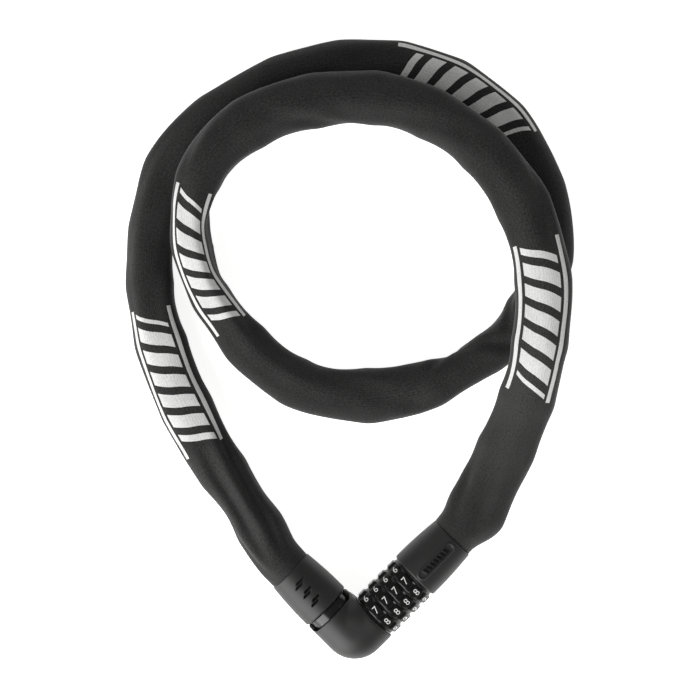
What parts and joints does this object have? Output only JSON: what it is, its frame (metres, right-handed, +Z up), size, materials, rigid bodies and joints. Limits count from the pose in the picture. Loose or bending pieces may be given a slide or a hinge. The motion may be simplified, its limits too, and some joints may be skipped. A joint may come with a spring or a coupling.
{
  "type": "chain lock",
  "caption": "Code chain lock: an elbow body with number dials and a pull-out plug, joined by a chain in a loosely coiled textile sleeve.",
  "frame": {"origin": "centre of the lock body's base, measured without the chain and its sleeve, on the surface that the lock lies on", "axes": "+Z up from the surface, +Y from the elbow towards the coil, +X towards the dial arm's side"},
  "size_m": [0.2161, 0.2972, 0.041],
  "materials": {
    "housing_plastic": "fine matte texture",
    "gloss_plastic": "polished",
    "dial_plastic": "polished, with white numbers",
    "dark_steel": "dark, oiled",
    "steel": "ground",
    "chain_steel": "plated",
    "spring_steel": "bright",
    "brass": "turned",
    "sleeve_fabric": "woven, with white prints"
  },
  "bodies": {
    "root": {"elbow_housing": "housing_plastic", "dial_washer_elbow": "gloss_plastic", "dial_washer_tail": "gloss_plastic", "dial_tube": "dark_steel", "detent_spring": "spring_steel", "spindle_spring": "spring_steel", "tube_nut": "dark_steel", "latch_clip": "spring_steel", "tail_cap": "housing_plastic", "tail_anchor": "dark_steel", "tail_chain_pin": "steel", "tail_sleeve_ring": "housing_plastic", "textile_sleeve": "sleeve_fabric", "chain_link_04": "chain_steel", "chain_link_05": "chain_steel", "chain_link_06": "chain_steel", "chain_link_07": "chain_steel", "chain_link_08": "chain_steel", "chain_link_09": "chain_steel", "chain_link_10": "chain_steel", "chain_link_11": "chain_steel", "chain_link_12": "chain_steel", "chain_link_13": "chain_steel", "chain_link_14": "chain_steel", "chain_link_15": "chain_steel", "chain_link_16": "chain_steel", "chain_link_17": "chain_steel", "chain_link_18": "chain_steel", "chain_link_19": "chain_steel", "chain_link_20": "chain_steel", "chain_link_21": "chain_steel", "chain_link_22": "chain_steel", "chain_link_23": "chain_steel", "chain_link_24": "chain_steel", "chain_link_25": "chain_steel", "chain_link_26": "chain_steel", "chain_link_27": "chain_steel", "chain_link_28": "chain_steel", "chain_link_29": "chain_steel", "chain_link_30": "chain_steel", "chain_link_31": "chain_steel", "chain_link_32": "chain_steel"},
    "plug": {"plug_cap": "housing_plastic", "plug_collar": "gloss_plastic", "bolt_pin": "steel", "plug_anchor": "dark_steel", "plug_chain_pin": "steel", "plug_sleeve_ring": "housing_plastic", "chain_link_01": "chain_steel"},
    "spindle": {"code_spindle": "steel"},
    "dial_1_body": {"dial_1": "dial_plastic", "code_ring_1": "brass"},
    "dial_2_body": {"dial_2": "dial_plastic", "code_ring_2": "brass"},
    "dial_3_body": {"dial_3": "dial_plastic", "code_ring_3": "brass"},
    "dial_4_body": {"dial_4": "dial_plastic", "code_ring_4": "brass"},
    "chain_follow_near": {"chain_link_02": "chain_steel"},
    "chain_follow_far": {"chain_link_03": "chain_steel"}
  },
  "joints": [
    {"name": "plug_slide", "type": "slide", "parent": "root", "child": "plug", "axis": [-0.7071, 0.7071, 0], "range_m": [0, 0.025], "deforming": ["textile_sleeve", "latch_clip"]},
    {"name": "spindle_slide", "type": "slide", "parent": "root", "child": "spindle", "axis": [0.7071, 0.7071, 0], "range_m": [0, 0.003], "stiffness_N_per_m": 1400, "deforming": ["spindle_spring"]},
    {"name": "dial_1_turn", "type": "hinge", "parent": "root", "child": "dial_1_body", "pos_m": [0.00396, -0.00975, 0.0127], "axis": [0.7071, 0.7071, 0], "continuous": true},
    {"name": "dial_2_turn", "type": "hinge", "parent": "root", "child": "dial_2_body", "pos_m": [0.00856, -0.00516, 0.0127], "axis": [0.7071, 0.7071, 0], "continuous": true},
    {"name": "dial_3_turn", "type": "hinge", "parent": "root", "child": "dial_3_body", "pos_m": [0.01315, -0.00056, 0.0127], "axis": [0.7071, 0.7071, 0], "continuous": true},
    {"name": "dial_4_turn", "type": "hinge", "parent": "root", "child": "dial_4_body", "pos_m": [0.01775, 0.00404, 0.0127], "axis": [0.7071, 0.7071, 0], "continuous": true},
    {"name": "chain_follow_near_slide", "type": "slide", "parent": "root", "child": "chain_follow_near", "axis": [-0.6691, 0.7431, 0], "range_m": [0, 0.0161]},
    {"name": "chain_follow_far_slide", "type": "slide", "parent": "root", "child": "chain_follow_far", "axis": [-0.6018, 0.7986, 0], "range_m": [0, 0.0073]}
  ],
  "couplings": [
    {"joint": "chain_follow_near_slide", "follows": "plug_slide", "ratio": 0.64},
    {"joint": "chain_follow_far_slide", "follows": "plug_slide", "ratio": 0.29}
  ]
}
